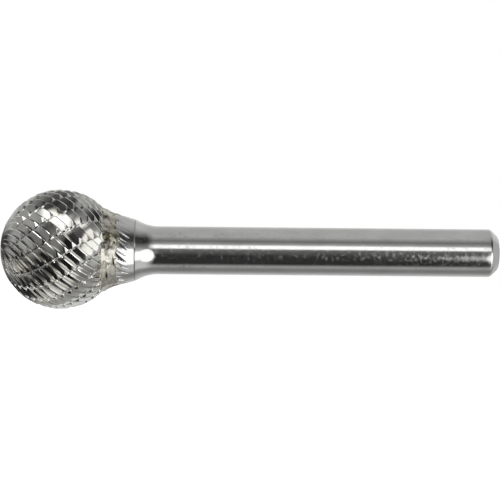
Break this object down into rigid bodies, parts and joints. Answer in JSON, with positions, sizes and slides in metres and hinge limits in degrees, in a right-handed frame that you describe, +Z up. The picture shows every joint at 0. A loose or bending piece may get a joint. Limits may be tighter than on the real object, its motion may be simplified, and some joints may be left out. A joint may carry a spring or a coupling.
{
  "type": "carbide burr",
  "caption": "Ball-shaped double-cut carbide rotary burr with a round steel shank, for cutting and deburring metal in a collet grinder.",
  "frame": {"origin": "on the shank's axis, half way along the straight part that a collet grips", "axes": "+X along the axis from the ball towards the shank's free end, +Z up, +Y away from the viewer of the side view"},
  "size_m": [0.0663, 0.0158, 0.0158],
  "materials": {
    "carbide": "ground tungsten carbide, dark grey, bright on the ground tooth faces",
    "braze": "rough silver braze, stained, pitted",
    "steel": "fine-turned and ground bright steel"
  },
  "bodies": {
    "root": {"carbide_head": "carbide", "braze_joint": "braze", "steel_shank": "steel"}
  },
  "joints": []
}
